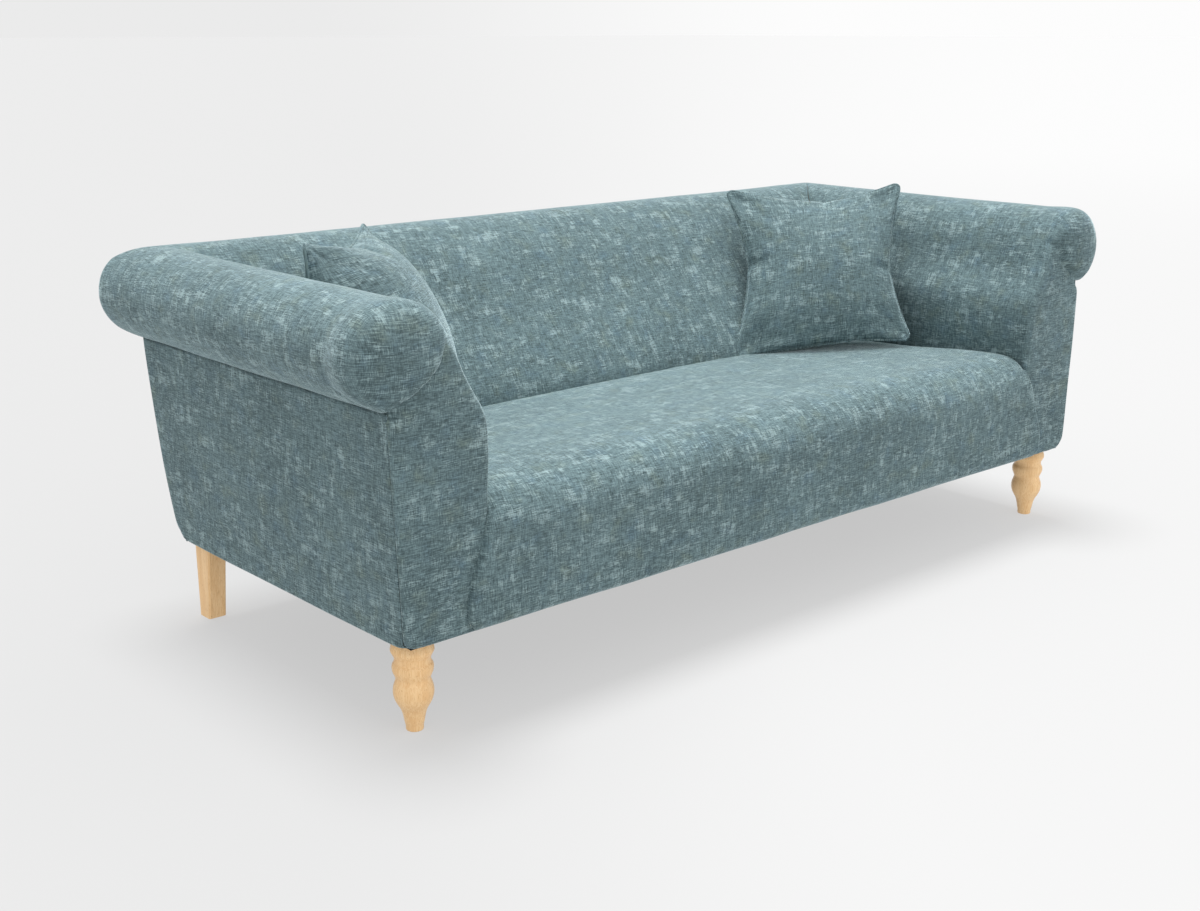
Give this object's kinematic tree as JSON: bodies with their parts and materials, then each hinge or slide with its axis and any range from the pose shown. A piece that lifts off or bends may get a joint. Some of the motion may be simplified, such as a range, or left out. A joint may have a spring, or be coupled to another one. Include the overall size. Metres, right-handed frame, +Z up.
{
  "type": "roll arm sofa",
  "caption": "Upholstered roll arm sofa with a low sprung bench seat, rolled back level with the arms, turned front legs, square back legs and loose scatter cushions.",
  "frame": {"origin": "on the floor under the middle of the whole part, cushions included", "axes": "+X along the sofa to the sitter-facing viewer's right, +Y from the seat front to the back, +Z up; the front faces -Y"},
  "size_m": [2.185, 0.985, 0.8257],
  "materials": {
    "sofa_cloth": "soft blue-grey woven pile cloth, cross-hatched with faded light streaks, pale sheen",
    "beech": "clear satin lacquer",
    "frame_timber": "planed, unfinished",
    "plywood": "sawn, unfinished",
    "foam": "open-cell upholstery foam",
    "fibre_fill": "soft fibre pad",
    "webbing": "woven jute strap",
    "dust_cloth": "thin black felted cloth",
    "spring_steel": "bare wire",
    "bolt_steel": "zinc plated"
  },
  "bodies": {
    "frame": {"back_bottom_rail": "frame_timber", "back_foam": "foam", "back_left_corner_block": "frame_timber", "back_left_hanger_bolt": "bolt_steel", "back_left_leg": "beech", "back_right_corner_block": "frame_timber", "back_right_hanger_bolt": "bolt_steel", "back_right_leg": "beech", "back_roll_rail": "frame_timber", "back_webbing_1": "webbing", "back_webbing_2": "webbing", "back_webbing_3": "webbing", "centre_back_upright": "frame_timber", "centre_brace": "frame_timber", "centre_raked_post": "frame_timber", "dust_cover": "dust_cloth", "front_left_corner_block": "frame_timber", "front_left_hanger_bolt": "bolt_steel", "front_left_leg": "beech", "front_rail": "frame_timber", "front_right_corner_block": "frame_timber", "front_right_hanger_bolt": "bolt_steel", "front_right_leg": "beech", "inside_back_cover": "sofa_cloth", "left_arm_cover": "sofa_cloth", "left_arm_foam": "foam", "left_arm_post": "frame_timber", "left_arm_roll_rail": "frame_timber", "left_arm_tacking_rail": "frame_timber", "left_back_upright": "frame_timber", "left_outside_arm_panel": "sofa_cloth", "left_raked_post": "frame_timber", "left_scroll_board": "plywood", "left_side_rail": "frame_timber", "outside_back_panel": "sofa_cloth", "rear_seat_rail": "frame_timber", "right_arm_cover": "sofa_cloth", "right_arm_foam": "foam", "right_arm_post": "frame_timber", "right_arm_roll_rail": "frame_timber", "right_arm_tacking_rail": "frame_timber", "right_back_upright": "frame_timber", "right_outside_arm_panel": "sofa_cloth", "right_raked_post": "frame_timber", "right_scroll_board": "plywood", "right_side_rail": "frame_timber", "seat_cover": "sofa_cloth", "seat_foam": "foam", "seat_spring_1": "spring_steel", "seat_spring_2": "spring_steel", "seat_spring_3": "spring_steel", "seat_spring_4": "spring_steel", "seat_spring_5": "spring_steel", "seat_spring_6": "spring_steel", "seat_spring_7": "spring_steel", "seat_spring_8": "spring_steel"},
    "left_cushion": {"left_cushion_cover": "sofa_cloth", "left_cushion_pad": "fibre_fill"},
    "right_cushion": {"right_cushion_cover": "sofa_cloth", "right_cushion_pad": "fibre_fill"}
  },
  "joints": [
    {"name": "left_cushion_lift", "type": "slide", "parent": "frame", "child": "left_cushion", "axis": [0, 0, 1], "range_m": [0, 0.45]},
    {"name": "right_cushion_lift", "type": "slide", "parent": "frame", "child": "right_cushion", "axis": [0, 0, 1], "range_m": [0, 0.45]}
  ]
}
